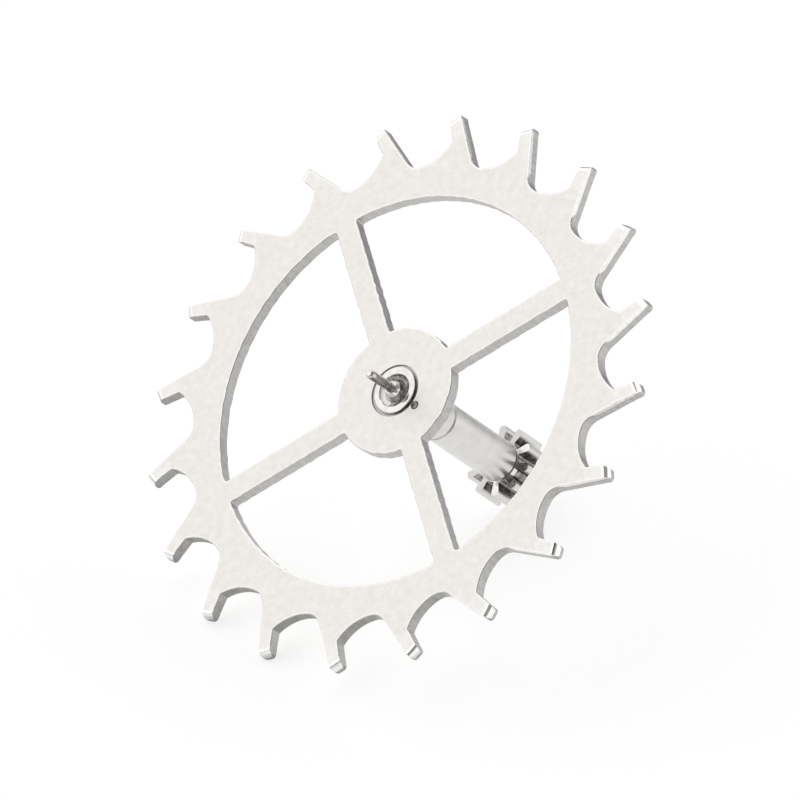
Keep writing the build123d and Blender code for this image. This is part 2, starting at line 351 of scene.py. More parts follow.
def tooth_points():
    """The points and directions of the first tooth: heel and toe of the flat front, the same
    moved out by the swollen end, the notch, and the gullet behind it with its two arcs."""
    heel = polar(TIP_RADIUS, FIRST_HEEL)
    toe = polar(TOE_RADIUS, FIRST_HEEL + TOE_LEAD)
    notch = polar(NOTCH_RADIUS, FIRST_HEEL + NOTCH_LEAD)
    face = unit(toe - heel)
    outward = -left(face)
    back = polar(1, FIRST_HEEL + FLANK_ANGLE)
    front = unit(toe - notch)
    heel_end = heel + back * (TIP_BULGE / (back @ outward))
    toe_end = toe + front * (TIP_BULGE / (front @ outward))
    # the small arc touches the back flank and the gullets' circle
    away = left(-back)
    edge = heel + away * GULLET_FILLET
    along = edge @ back
    travel = along - math.sqrt(along ** 2 - edge @ edge + (GULLET_RADIUS + GULLET_FILLET) ** 2)
    foot = heel - back * travel
    small_centre = foot + away * GULLET_FILLET
    # the sweep runs from the notch behind into the small arc
    across = turned(notch, -PITCH) - small_centre
    gap = np.linalg.norm(across)
    between = SWEEP_RADIUS - GULLET_FILLET
    near = (gap ** 2 + between ** 2 - SWEEP_RADIUS ** 2) / (2 * gap)
    aside = math.sqrt(between ** 2 - near ** 2)
    sweep_centre = small_centre + unit(across) * near + left(unit(across)) * aside
    turn = small_centre + unit(small_centre - sweep_centre) * GULLET_FILLET
    return dict(heel=heel, toe=toe, notch=notch, face=face, outward=outward, heel_end=heel_end,
                toe_end=toe_end, foot=foot, turn=turn, small_centre=small_centre,
                sweep_centre=sweep_centre, into=away,
                bottom=unit(small_centre) * GULLET_RADIUS)


TOOTH = tooth_points()
AHEAD = {name: turned(point, PITCH) for name, point in TOOTH.items()}   # the next tooth
CUT_ANGLE = angle_of(TOOTH["bottom"])


def tooth_line():
    """The toothed edge over one pitch, anticlockwise from one gullet's bottom to the next."""
    t = TOOTH
    heel_corner = rounded(t["foot"], t["heel_end"], t["toe_end"], TIP_CORNER, 6)
    toe_corner = rounded(t["heel_end"], t["toe_end"], t["notch"], TIP_CORNER, 6)
    line = arc(t["small_centre"], t["bottom"], t["foot"], 18)
    line += straight(t["foot"], heel_corner[0], 16)[1:]
    line += heel_corner[1:]
    line += straight(heel_corner[-1], toe_corner[0], 5)[1:]
    line += toe_corner[1:]
    line += straight(toe_corner[-1], t["notch"], 8)[1:]
    line += arc(AHEAD["sweep_centre"], t["notch"], AHEAD["turn"], 26)[1:]
    line += arc(AHEAD["small_centre"], AHEAD["turn"], AHEAD["bottom"], 6)[1:]
    return line


LINE = tooth_line()
TOOTHED_EDGE = np.concatenate([turned(LINE[:-1], PITCH * k) for k in range(TEETH)])


def window_outline(quarter):
    """One window between two spokes, clockwise."""
    def at(radius, angle):
        return polar(radius, QUARTER * quarter + angle)

    spoke_out = math.degrees(math.asin(SPOKE_WIDTH / 2 / RIM_INNER))
    spoke_in = math.degrees(math.asin(SPOKE_WIDTH / 2 / HUB_RADIUS))
    outer0, outer1 = at(RIM_INNER, spoke_out), at(RIM_INNER, QUARTER - spoke_out)
    inner0, inner1 = at(HUB_RADIUS, spoke_in), at(HUB_RADIUS, QUARTER - spoke_in)
    rim0 = rounded(inner0, outer0, at(RIM_INNER, RIM_TANGENT), WINDOW_CORNER, 5)
    rim1 = rounded(at(RIM_INNER, QUARTER - RIM_TANGENT), outer1, inner1, WINDOW_CORNER, 5)
    hub1 = rounded(outer1, inner1, at(HUB_RADIUS, QUARTER - HUB_TANGENT), WINDOW_CORNER, 5)
    hub0 = rounded(at(HUB_RADIUS, HUB_TANGENT), inner0, outer0, WINDOW_CORNER, 5)
    middle = np.zeros(2)
    points = rim0[:-1]
    points += arc(middle, at(RIM_INNER, RIM_ARC_START), at(RIM_INNER, QUARTER - RIM_ARC_START), 72)
    points += rim1[1:]
    points += straight(rim1[-1], hub1[0], 40)[1:-1]
    points += hub1[:-1]
    points += arc(middle, at(HUB_RADIUS, QUARTER - HUB_ARC_START), at(HUB_RADIUS, HUB_ARC_START), 40)
    points += hub0[1:]
    points += straight(hub0[-1], rim0[0], 40)[1:-1]
    return np.array(points)[::-1]


def uneven(loop, seed):
    """A closed loop with the small waviness of a stamped edge, a few micrometres each way."""
    step = np.linalg.norm(np.roll(loop, -1, 0) - loop, axis=1)
    along = np.concatenate([[0], np.cumsum(step)])
    share = along[:-1] / along[-1]
    wave = np.zeros(len(loop))
    rng = np.random.default_rng(seed)
    for turns in rng.integers(*WAVE_TURNS, WAVE_COUNT):
        wave += rng.uniform(0.3, 1) * np.sin(2 * math.pi * (turns * share + rng.uniform()))
    return offset_loop(loop, wave * WAVE)


WINDOWS = [uneven(window_outline(q), q + WAVE_SEED) for q in range(SPOKES)]


def edge_rounding(points, loops):
    """Depth of the worn rounding where a face meets the walls of these loops."""
    near = np.clip(1 - distance_to_loops(points, loops) / EDGE, 0, 1)
    return EDGE_DEPTH * (1 - np.sqrt(1 - near ** 2))


def past_face(points):
    """How far points lie out over the polished end, as a share of its swelling."""
    return (points - TOOTH["heel"]) @ TOOTH["outward"] / TIP_BULGE


def tooth_heights(points):
    """How far the front and the back of a tooth lie inside the plate's two planes."""
    r = np.hypot(*points.T)
    club = CLUB_RELIEF / CLUB_DROP * np.maximum(r - NOTCH_RADIUS, 0)
    # bevel along the back edge, which stops short of the gullet
    inside = (points - TOOTH["heel"]) @ TOOTH["into"]
    stop = np.clip((r - GULLET_RADIUS - BACK_BEVEL_STOP) / BACK_BEVEL_RUNOUT, 0, 1)
    bevel = BACK_BEVEL_DEPTH * np.clip(1 - inside / BACK_BEVEL_WIDTH, 0, 1) * stop
    bevel[inside < -BACK_BEVEL_SLACK] = 0
    # polished end, a quarter ellipse that swells from front to back
    swell = THICKNESS * (1 - np.sqrt(1 - np.clip(past_face(points), 0, 1) ** 2))
    rounding = edge_rounding(points, [TOOTHED_EDGE])
    front = np.maximum(np.maximum(club, bevel), swell) + rounding * (swell == 0)
    return np.minimum(front, THICKNESS - LEAST_WALL), rounding * np.where(swell > 0, BACK_EDGE_SHARE, 1)


def tooth_finishes(middles):
    """Finish numbers of a tooth's faces, front and back alike."""
    out = past_face(middles)
    near_edge = distance_to_loops(middles, [TOOTHED_EDGE]) < EDGE
    club = np.hypot(*middles.T) > NOTCH_RADIUS + CLUB_MARGIN
    both = np.select([out > GREY_SHARE, out > 0, near_edge, club], [MILLED_SHADE, ENDS, WORN_HIGHLIGHT, LIT_CLUBS], LAPPED)
    return both, both


def body_heights(points):
    """The same for rim, spokes and hub, with the recess round the rivet and the punch mark."""
    rounding = edge_rounding(points, WINDOWS)
    recess = RECESS_DEPTH * (np.hypot(*points.T) < RECESS_RADIUS - RECESS_WALL / 2)
    share = np.hypot(*(points - PUNCH).T) / PUNCH_RADIUS
    punch = PUNCH_DEPTH * np.clip(PUNCH_FLAT - share ** 2, 0, 1) * (share < 1)
    return np.maximum(np.maximum(rounding, recess), punch), rounding


def body_finishes(middles):
    """Finish numbers of the body's faces, front and back; a dark patch runs from the punch mark to the
    recess, and the recess's floor takes the greyer milled colour as painted shade."""
    r = np.hypot(*middles.T)
    near_edge = distance_to_loops(middles, WINDOWS) < EDGE
    along, beside = middles @ unit(PUNCH), np.abs(middles @ left(unit(PUNCH)))
    tail = (beside < PATCH_HALF_WIDTH) & (along > LIP_RADIUS) & (along < PUNCH_PLACE)
    dark_patch = tail | (np.hypot(*(middles - PUNCH).T) < PATCH_RADIUS)
    front = np.select([dark_patch, r < RECESS_RADIUS, near_edge], [PUNCH_PATCH, MILLED_SHADE, WORN_HIGHLIGHT], LAPPED)
    return front, np.where(near_edge, WORN_HIGHLIGHT, LAPPED)


def plate(name, area, lines, walled, heights, finishes):
    """Part of the plate as a mesh: one triangulation of the area inside its loops, used for the
    front and the back, and walls down the loops that are walled."""
    points, edges = [], []
    for line, closed in [(loop, True) for loop in area] + lines:
        base, n = len(points), len(line)
        points.extend(map(tuple, line))
        edges.extend((base + i, base + (i + 1) % n) for i in range(n if closed else n - 1))
    flat, _, faces, *_ = delaunay_2d_cdt([Vector(p) for p in points], edges, [], 0, WELD)
    flat, faces = np.array([tuple(p) for p in flat]), np.array(faces)
    faces = faces[inside_loops(flat[faces].mean(1), area)]
    used, faces = np.unique(faces, return_inverse=True)
    flat, faces = flat[used], faces.reshape(-1, 3)
    down, up = heights(flat)
    n = len(flat)
    verts = [(x, y, FRONT - d) for (x, y), d in zip(flat, down)]
    verts += [(x, y, BACK + u) for (x, y), u in zip(flat, up)]
    # edges that belong to one triangle only, and lie on a walled loop, carry the walls
    sides = np.concatenate([faces[:, [0, 1]], faces[:, [1, 2]], faces[:, [2, 0]]])
    _, first, shared = np.unique(np.sort(sides, 1), axis=0, return_index=True, return_counts=True)
    border = sides[first[shared == 1]]
    border = border[(distance_to_loops(flat, walled) < ON_LINE)[border].all(1)]
    walls = [(b, a, a + n, b + n) for a, b in border]
    front, back = finishes(flat[faces].mean(1))
    return plain_mesh(name, verts, [*faces, *(faces[:, ::-1] + n), *walls],
                      [*front, *back, *[MILLED_SHADE] * len(walls)])


def tooth_sector():
    """One tooth with its share of the rim, cut off at the gullets' bottoms and at the seam."""
    t = TOOTH
    rows = []
    for depth in (EDGE * share for share in EDGE_SHARES):
        row = offset_loop(TOOTHED_EDGE, depth)[:len(LINE)]
        row[0] = polar(GULLET_RADIUS - depth, CUT_ANGLE + CUT_BEND * (depth / SEAM_DEPTH) ** 2)
        row[-1] = turned(row[0], PITCH)
        rows.append(row)
    seam = [polar(SEAM_RADIUS, CUT_ANGLE + CUT_BEND + PITCH * i / SEAM_STEPS)
            for i in range(SEAM_STEPS + 1)]
    area = np.array([*LINE, *(row[-1] for row in rows), *seam[::-1], *(row[0] for row in rows[::-1])])
    lines = [(row, False) for row in rows]
    for share in END_SHARES:
        shift, over = t["outward"] * TIP_BULGE * share, t["face"] * END_OVERRUN
        lines.append(([t["heel"] + shift - over, t["toe"] + shift + over], False))
    for share in BEVEL_SHARES:
        inner = t["into"] * BACK_BEVEL_WIDTH * share
        lines.append((straight(t["foot"] + inner, t["heel_end"] + inner, 16), False))
    club = [polar(NOTCH_RADIUS, angle_of(t["notch"]) + a) for a in np.linspace(*CLUB_SPAN, 12)]
    lines.append((club, False))
    return plate("tooth", [area], lines, [TOOTHED_EDGE], tooth_heights, tooth_finishes)


def wheel_body():
    """Rim, spokes and hub, out to the seam."""
    bore = circle(SEAT_RADIUS, 96)[::-1]
    seam = circle(SEAM_RADIUS, TEETH * SEAM_STEPS, start=CUT_ANGLE + CUT_BEND)
    lines = [offset_loop(window, EDGE * share) for window in WINDOWS for share in EDGE_SHARES]
    lines += [circle(r, 120) for r in (RECESS_RADIUS, RECESS_RADIUS - RECESS_WALL)]
    lines += [circle(PUNCH_RADIUS * share, 24, PUNCH) for share in PUNCH_SHARES]
    lines += [circle(radius, steps) for radius, steps in HELP_RINGS]
    return plate("wheel_body", [seam, *WINDOWS, bore], [(line, True) for line in lines],
                 [*WINDOWS, bore], body_heights, body_finishes)


def build_wheel(materials):
    """The toothed plate: twenty teeth repeated round a body, as one closed mesh."""
    teeth = repeated(tooth_sector(), TEETH, materials[LAPPED])
    parts = [teeth, wheel_body()]
    finishes = np.concatenate([finishes_of(part)[0] for part in parts])
    return joined("escape_wheel_plate", parts, finishes, materials, WHEEL_SMOOTH)


# The pinion
LEAF_STEEL, ARBOR_STEEL, PIVOT_STEEL, PAINTED_SHADE_STEEL, BROWN_SHADE_STEEL = range(5)   # its finishes


def leaf_sector():
    """Radius and angle of the points from the middle of one leaf to the middle of the next."""
    root = LEAF_RADIUS - ROOT_DEPTH
    pitch_radius = LEAF_RADIUS - ADDENDUM
    half_pitch = LEAF_PITCH / 2
    flank = half_pitch - math.degrees(math.asin(LEAF_THICKNESS / 2 / pitch_radius))
    land = half_pitch - math.degrees(math.asin(LAND / 2 / LEAF_RADIUS))
    side = polar(1, flank)
    # rounding between the root circle and the radial flank
    along = math.sqrt((root + ROOT_CORNER) ** 2 - ROOT_CORNER ** 2)
    centre = side * along - left(side) * ROOT_CORNER
    on_root, on_flank = unit(centre) * root, side * along
    half = [polar(root, angle_of(on_root) * i / 7) for i in range(8)]
    half += arc(centre, on_root, on_flank, 5)[1:]
    half += straight(on_flank, side * pitch_radius, 8)[1:]
    # rounded top of the leaf: an arc that leaves the flank along its direction
    foot, tip = side * pitch_radius, polar(LEAF_RADIUS, land)
    chord = tip - foot
    radius = (chord @ chord) / (2 * (chord @ left(side)))
    half += arc(foot + left(side) * radius, foot, tip, 8)[1:]
    half += [polar(LEAF_RADIUS, land + (half_pitch - land) * i / 3) for i in range(1, 4)]
    middle = FIRST_LEAF + half_pitch
    ends = [(np.hypot(*p), angle_of(p)) for p in half]
    return [(r, middle - a) for r, a in ends[::-1]] + [(r, middle + a) for r, a in ends[1:]]


def pinion_rows():
    """Height, radius and finish of each ring of the pinion from the lower pivot up, and whether
    the leaves are cut at it."""
    rows = []

    def turn_to(z, radius, finish):
        rows.append((z, radius, finish, False))

    def cut_to(z, radius, finish=LEAF_STEEL):
        rows.append((z, radius, finish, True))

    # lower pivot and shoulder
    turn_to(0, POLE, PIVOT_STEEL)
    for share in (0.5, 1.0):
        turn_to(0, (PIVOT_RADIUS - PIVOT_END) * share, PIVOT_STEEL)
    for a in (22.5, 45, 67.5, 90):
        c, s = polar(PIVOT_END, a)
        turn_to(PIVOT_END - c, PIVOT_RADIUS - PIVOT_END + s, PIVOT_STEEL)
    turn_to(LOWER_PIVOT - PIVOT_FILLET, PIVOT_RADIUS, PIVOT_STEEL)
    for a in (30, 60, 90):
        c, s = polar(PIVOT_FILLET, a)
        turn_to(LOWER_PIVOT - PIVOT_FILLET + s, PIVOT_RADIUS + PIVOT_FILLET - c, PIVOT_STEEL)
    turn_to(LOWER_PIVOT, LOWER_SHOULDER - LOWER_BEVEL, LEAF_STEEL)
    turn_to(LOWER_PIVOT + LOWER_BEVEL, LOWER_SHOULDER, LEAF_STEEL)
    turn_to(LEAVES_BOTTOM - 2 * UM, LOWER_SHOULDER, LEAF_STEEL)
    turn_to(LEAVES_BOTTOM, LOWER_SHOULDER + 2 * UM, LEAF_STEEL)
    # leaves
    cut_to(LEAVES_BOTTOM, LEAF_RADIUS - LEAF_BEVEL)
    cut_to(LEAVES_BOTTOM + LEAF_BEVEL, LEAF_RADIUS)
    for z in np.linspace(LEAVES_BOTTOM + 30 * UM, LEAVES_TOP - BRIGHT_FOOT, 6):
        cut_to(z, LEAF_RADIUS)
    cut_to(LEAVES_TOP - LEAF_BEVEL, LEAF_RADIUS)
    for share in (1.0, 0.75, 0.5, 0.25):
        cut_to(LEAVES_TOP, ARBOR_RADIUS + (LEAF_RADIUS - LEAF_BEVEL - ARBOR_RADIUS) * share)
    turn_to(LEAVES_TOP, ARBOR_RADIUS, LEAF_STEEL)
    # plain arbor, with a groove at its foot painted dark as shade, and the turned line
    for z in (LEAVES_TOP + UM, LEAVES_TOP + 8 * UM):
        turn_to(z, ARBOR_RADIUS - 3 * UM, PAINTED_SHADE_STEEL)
    line, half = BACK - RING_PLACE, RING_WIDTH / 2
    for z in np.linspace(LEAVES_TOP + 11 * UM, line - half - 4 * UM, 10):
        turn_to(z, ARBOR_RADIUS, ARBOR_STEEL)
    for step, drop in ((-half, UM), (-3 * UM, RING_DEPTH), (3 * UM, RING_DEPTH), (half, UM)):
        turn_to(line + step, ARBOR_RADIUS - drop, ARBOR_STEEL)
    for z in (line + half + 4 * UM, BACK - 50 * UM, BACK):
        turn_to(z, ARBOR_RADIUS, ARBOR_STEEL)
    # seat and riveted lip, the lip's outer wall painted dark as shade
    floor = FRONT - RECESS_DEPTH + SEAT_PLAY
    turn_to(BACK, SEAT_RADIUS - SEAT_PLAY, ARBOR_STEEL)
    turn_to(floor, SEAT_RADIUS - SEAT_PLAY, PIVOT_STEEL)
    turn_to(floor, LIP_RADIUS - UM, PIVOT_STEEL)
    turn_to(FRONT - UM, LIP_RADIUS - SEAT_PLAY, PAINTED_SHADE_STEEL)
    turn_to(FRONT + LIP_EDGE + 3 * UM, LIP_RADIUS - 3 * UM, PAINTED_SHADE_STEEL)
    turn_to(FRONT + LIP_EDGE + 6 * UM, LIP_RADIUS - 7 * UM, PIVOT_STEEL)
    crest = FRONT + CREST_HEIGHT
    for drop, radius in ((3 * UM, CREST_RADIUS + 14 * UM), (0, CREST_RADIUS),
                         (UM, CREST_RADIUS - 14 * UM), (5 * UM, LIP_INNER + 7 * UM),
                         (11 * UM, LIP_INNER + UM)):
        turn_to(crest - drop, radius, PIVOT_STEEL)
    # hollow and the cone's foot painted dark as shade, cone, and upper pivot, its body in the browner
    # steel that paints shade
    hollow = FRONT - HOLLOW_DEPTH
    for z, radius in ((FRONT - 3 * UM, LIP_INNER - 5 * UM), (hollow, HOLLOW_RADIUS),
                      (hollow, UPPER_FOOT + 4 * UM), (hollow + 6 * UM, UPPER_FOOT - 3 * UM),
                      (FRONT + UPPER_CONE / 2, (UPPER_FOOT + UPPER_SHOULDER) * CONE_WAIST / 2)):
        turn_to(z, radius, PAINTED_SHADE_STEEL)
    cone = FRONT + UPPER_CONE
    for z, radius in ((cone - 5 * UM, UPPER_SHOULDER + UM), (cone, UPPER_SHOULDER - 4 * UM),
                      (cone, PIVOT_RADIUS + 4 * UM)):
        turn_to(z, radius, PIVOT_STEEL)
    for z in (cone + 5 * UM, TOP - 17 * UM):
        turn_to(z, PIVOT_RADIUS, BROWN_SHADE_STEEL)
    for z, radius in ((TOP - 15.5 * UM, PIVOT_RADIUS - 0.5 * UM), (TOP - 1.5 * UM, PIVOT_RADIUS - 13 * UM),
                      (TOP, PIVOT_RADIUS - 15.5 * UM), (TOP, 12 * UM), (TOP, POLE)):
        turn_to(z, radius, PIVOT_STEEL)
    return rows


def pinion_sector():
    """One leaf's sector of the pinion: rings of its rows, with faces between neighbouring ones."""
    sector, rows = leaf_sector(), pinion_rows()
    n = len(sector)
    verts = []
    for z, radius, _, cut in rows:
        radii = [min(radius, r) if cut else radius for r, _ in sector]
        verts += [(*polar(r, a), z) for r, (_, a) in zip(radii, sector)]
    faces, finishes = [], []
    for i in range(len(rows) - 1):
        (low, _, _, leaves_below), (high, _, finish, leaves_above) = rows[i:i + 2]
        on_flanks = leaves_below and leaves_above and high > low
        for j in range(n - 1):
            # the flanks' faces inside the gaps are painted dark, as shade
            in_gap = max(sector[j][0], sector[j + 1][0]) < GAP_REACH
            faces.append((i * n + j, i * n + j + 1, (i + 1) * n + j + 1, (i + 1) * n + j))
            flank_finish = PAINTED_SHADE_STEEL if in_gap else ARBOR_STEEL
            finishes.append(flank_finish if on_flanks else finish)
    return plain_mesh("leaf", verts, faces, finishes)


def between(values, limits):
    return (values > limits[0]) & (values < limits[1])


def pinion_finishes(ring):
    """Finish numbers of the whole pinion's faces, where painted shade, a painted dark reflection and
    painted highlights lie on one side only: the front faces of the leaves, the first gap, the lip's wall,
    the hollow and the upper pivot."""
    kinds, middles = finishes_of(ring)
    x, y, z = middles.T
    radius, around = np.hypot(x, y), np.degrees(np.arctan2(y, x))
    turn = around - FIRST_LEAF
    flat = np.minimum(abs(z - LEAVES_TOP), abs(z - LEAVES_BOTTOM)) < ON_LINE
    bright_gap = (kinds == PAINTED_SHADE_STEEL) & between(z, (LEAVES_TOP - BRIGHT_FOOT, LEAVES_TOP - ON_LINE))
    bright_gap &= abs(turn - LEAF_PITCH / 2) < BRIGHT_HALF
    dark_above = (kinds == PAINTED_SHADE_STEEL) & (z > BACK)
    wall = dark_above & (radius > LIP_INNER + 30 * UM)
    hollow = dark_above & ~wall & between(around, BRIGHT_HOLLOW)
    pivot = (kinds == BROWN_SHADE_STEEL) & between(around, DARK_PIVOT)
    return np.select(
        [flat & between(turn, DARK_LEAVES), flat & ~between(turn, BRIGHT_LEAVES), bright_gap,
         wall & ~between(around, DARK_LIP), hollow, pivot],
        [PAINTED_SHADE_STEEL, ARBOR_STEEL, PIVOT_STEEL, ARBOR_STEEL, ARBOR_STEEL, PAINTED_SHADE_STEEL], kinds)


def build_pinion(materials):
    """The turned and cut pinion: one leaf's sector, repeated into one closed mesh."""
    ring = repeated(pinion_sector(), LEAVES, materials[LEAF_STEEL])
    return joined("escape_pinion_steel", [ring], pinion_finishes(ring), materials, PINION_SMOOTH)


# Materials
def per_mm(size):
    """Noise scale for features of a real size in mm, in Object coordinates in metres. The steels'
    patterns are drawn some ten times coarser than real ones, so that they show in the picture."""
    return 1.0 / (size * MM)


def steel(name):
    """A metal without its pattern: material, tree, the place its pattern is read at, and shader."""
    material = bpy.data.materials.new(name)
    material.use_nodes = True
    tree = material.node_tree
    tree.nodes.clear()
    where = add(tree, "ShaderNodeTexCoord", (-1300, 0)).outputs["Object"]
    shader = add(tree, "ShaderNodeBsdfPrincipled", (600, 0), {"Metallic": 1.0})
    add(tree, "ShaderNodeOutputMaterial", (900, 0), {"Surface": shader.outputs[0]})
    return material, tree, where, shader


def dress(tree, shader, look, span, colours, gloss, roughness):
    """Colour and roughness of a steel, each from a pattern between 0 and 1."""
    colour = add(tree, "ShaderNodeValToRGB", (-300, 200), {"Fac": look})
    for stop, place, value in zip(colour.color_ramp.elements, span, colours):
        stop.position, stop.color = place, linear(value)
    rough = add(tree, "ShaderNodeMapRange", (-300, -50), {
        "Value": gloss, "From Min": 0.3, "From Max": 0.7,
        "To Min": roughness[0], "To Max": roughness[1]})
    tree.links.new(colour.outputs["Color"], shader.inputs["Base Color"])
    tree.links.new(rough.outputs[0], shader.inputs["Roughness"])


def emboss(tree, shader, pattern, strength, depth):
    """Fine relief of a real depth in mm, from a pattern."""
    bump = add(tree, "ShaderNodeBump", (200, -200),
               {"Height": pattern, "Strength": strength, "Distance": depth * MM})
    tree.links.new(bump.outputs[0], shader.inputs["Normal"])


def lapped_steel(name="lapped_steel", colours=("#eae7e3", "#f6f3f0")):
    """Hardened steel lapped to a fine matt face, a soft pale mottle; a lighter pair of colours on the
    clubs of the teeth is painted light, where their slope catches it."""
    material, tree, where, shader = steel(name)
    grain = add(tree, "ShaderNodeTexNoise", (-1000, 200), {
        "Vector": where, "Scale": per_mm(0.030), "Detail": 4.0, "Roughness": 0.7}).outputs["Fac"]
    patch = add(tree, "ShaderNodeTexNoise", (-1000, -50), {
        "Vector": where, "Scale": per_mm(0.07), "Detail": 3.0, "Roughness": 0.6}).outputs["Fac"]
    half = add(tree, "ShaderNodeMath", (-750, 250), {0: grain, 1: 0.5}, operation="MULTIPLY")
    both = add(tree, "ShaderNodeMath", (-550, 100), {0: patch, 1: 0.5, 2: half.outputs[0]},
               operation="MULTIPLY_ADD").outputs[0]
    dress(tree, shader, both, (0.38, 0.62), colours, grain, (0.40, 0.55))
    emboss(tree, shader, grain, 0.25, 0.0006)
    return material


def milled_and_shaded_steel():
    """The same steel where the cutter left it, with fine upright streaks; its greyer colour is painted
    shade on the walls and in the rivet's recess.
    """
    material, tree, where, shader = steel("milled_and_shaded_steel")
    upright = add(tree, "ShaderNodeVectorMath", (-1000, 0), {0: where, 1: (1, 1, 0.4)},
                  operation="MULTIPLY").outputs[0]
    streak = add(tree, "ShaderNodeTexNoise", (-750, 100), {
        "Vector": upright, "Scale": per_mm(0.035), "Detail": 3.0, "Roughness": 0.6}).outputs["Fac"]
    dress(tree, shader, streak, (0.3, 0.7), ("#b1b0ae", "#cdccca"), streak, (0.32, 0.5))
    emboss(tree, shader, streak, 0.3, 0.0008)
    return material


def polished_steel(name="polished_steel", colours=("#dddcda", "#efeeec")):
    """Hardened steel, mirror-polished with a trace of haze: tooth ends, leaves, rivet and pivots.
    A browner, darker pair of colours gives a copy that paints shade on the upper pivot's body."""
    material, tree, where, shader = steel(name)
    haze = add(tree, "ShaderNodeTexNoise", (-750, 100), {
        "Vector": where, "Scale": per_mm(0.05), "Detail": 3.0, "Roughness": 0.55}).outputs["Fac"]
    dress(tree, shader, haze, (0.3, 0.7), colours, haze, (0.06, 0.14))
    emboss(tree, shader, haze, 0.1, 0.0004)
    return material


def worn_highlight_steel():
    """Steel with small nicks where a lapped face rounds over into a wall, its lighter colour a painted
    highlight along the worn edge.
    """
    material, tree, where, shader = steel("worn_edge_highlight_steel")
    nick = add(tree, "ShaderNodeTexNoise", (-750, 100), {
        "Vector": where, "Scale": per_mm(0.03), "Detail": 3.0, "Roughness": 0.6}).outputs["Fac"]
    dress(tree, shader, nick, (0.3, 0.6), ("#e9e7e4", "#fdfcfb"), nick, (0.24, 0.4))
    return material


def dark_patch_and_shade_steel():
    """Dark, uneven polished steel: painted shade in the leaf gaps, the rivet's hollow and elsewhere on the
    pinion, and the dark patch round the wheel's punch mark.
    """
    material, tree, where, shader = steel("dark_patch_and_shade_steel")
    film = add(tree, "ShaderNodeTexNoise", (-750, 100), {
        "Vector": where, "Scale": per_mm(0.05), "Detail": 3.0, "Roughness": 0.6}).outputs["Fac"]
    dress(tree, shader, film, (0.35, 0.65), ("#5a5754", "#b4b1ad"), film, (0.10, 0.25))
    emboss(tree, shader, film, 0.6, 0.004)
    return material


def satin_steel():
    """Turned steel of the arbor: satin and slightly clouded, with fine rings round the axis."""
    material, tree, where, shader = steel("satin_turned_steel")
    stretched = add(tree, "ShaderNodeVectorMath", (-1050, 0), {0: where, 1: (0.12, 0.12, 1)},
                    operation="MULTIPLY").outputs[0]
    rings = add(tree, "ShaderNodeTexNoise", (-800, 100), {
        "Vector": stretched, "Scale": per_mm(0.012), "Detail": 3.0, "Roughness": 0.6}).outputs["Fac"]
    cloud = add(tree, "ShaderNodeTexNoise", (-800, -150), {
        "Vector": where, "Scale": per_mm(0.10), "Detail": 3.0, "Roughness": 0.6}).outputs["Fac"]
    dress(tree, shader, cloud, (0.3, 0.7), ("#d9d8d6", "#e5e4e2"), cloud, (0.30, 0.42))
    emboss(tree, shader, rings, 0.3, 0.0005)
    return material


# Camera, floor and light
def turn_matrix():
    """Row frame to the photograph's camera: x right, y down, z away."""
    w = Vector(TURN)
    turn = Matrix.Rotation(w.length, 3, w.normalized())
    c, s = math.cos(math.radians(SPOKE_IN_PICTURE)), math.sin(math.radians(SPOKE_IN_PICTURE))
    plane = Matrix(((c, s, 0), (s, -c, 0), (0, 0, -1)))
    return turn @ plane


TO_CAMERA = turn_matrix()


def camera_direction(x, y, z):
    """A direction given against the photograph: right, up, towards the camera."""
    return (TO_CAMERA.transposed() @ Vector((x, -y, -z))).normalized()


def make_camera():
    data = bpy.data.cameras.new("photo_camera")
    data.sensor_width = 36
    data.lens = FOCAL / PICTURE * data.sensor_width
    data.clip_start, data.clip_end = 0.01, 10
    camera = bpy.data.objects.new("photo_camera", data)
    bpy.context.scene.collection.objects.link(camera)
    shift = Vector(((CENTRE[0] - PICTURE / 2) / SCALE, (CENTRE[1] - PICTURE / 2) / SCALE, FOCAL / SCALE))
    place = Vector((0, 0, FRONT)) - TO_CAMERA.transposed() @ shift
    axes = TO_CAMERA.transposed() @ Matrix(((1, 0, 0), (0, -1, 0), (0, 0, -1)))
    camera.matrix_world = Matrix.Translation(place * MM) @ axes.to_4x4()
    bpy.context.scene.camera = camera


# The part lies on two neighbouring teeth and on the end of its lower pivot
REST_PITCHES, REST_SHIFT = 3.5, 1.1    # from the first heel back to the middle between the teeth
REST_SWELL, REST_SHARE = 0.050, 0.35   # how far out, and how high in the plate, the ends touch
REST_PIVOT = 0.030                     # radius at which the pivot's rounded end touches
FLOOR_DROP = 0.004
FLOOR_HALF = 60.0

# The light: a white tent over white paper, open where polished steel shows dark in the photograph
PAPER_SHADE, PAPER_GLOW = 0.56, 0.62   # share of light that the paper returns, and its own glow
PAPER_EDGE = (3.0, 5.0)                # mm from the object where polished steel sees it end
RIM_SHADOW = (2.50, 2.90, 3.22, 3.38)  # mm: the ring of paper that the rim's shadow darkens
NEAR_SHADE = 0.58                      # brightness of that ring
TENT_LIGHT = 1.12
ROOM_DARK = 0.34                       # brightness of the table and room beyond the paper
LENS_DARK = 0.26                       # and of the opening for the lens
HORIZON = (7.0, 15.0)                  # degrees above the paper where the tent starts
LENS_PATCH = (33.0, 46.0)              # degrees round the camera that stay dark
ARM, ARM_PATCH = (0.35, 0.72, 0.60), (27.0, 42.0)   # right, up, near: the camera's dark arm
# sides (right, up, near) where paper and tent go on: the cosines between which the horizon
# clears up, and its brightness there; the paper is clear again between these mm outwards
OPEN_SIDES = [((0.80, -0.35, 0.48), 0.45, 0.70, 1.0), ((-0.95, 0.05, 0.25), 0.70, 0.86, 0.60)]
OPEN_REACH = (1.0, 2.5)


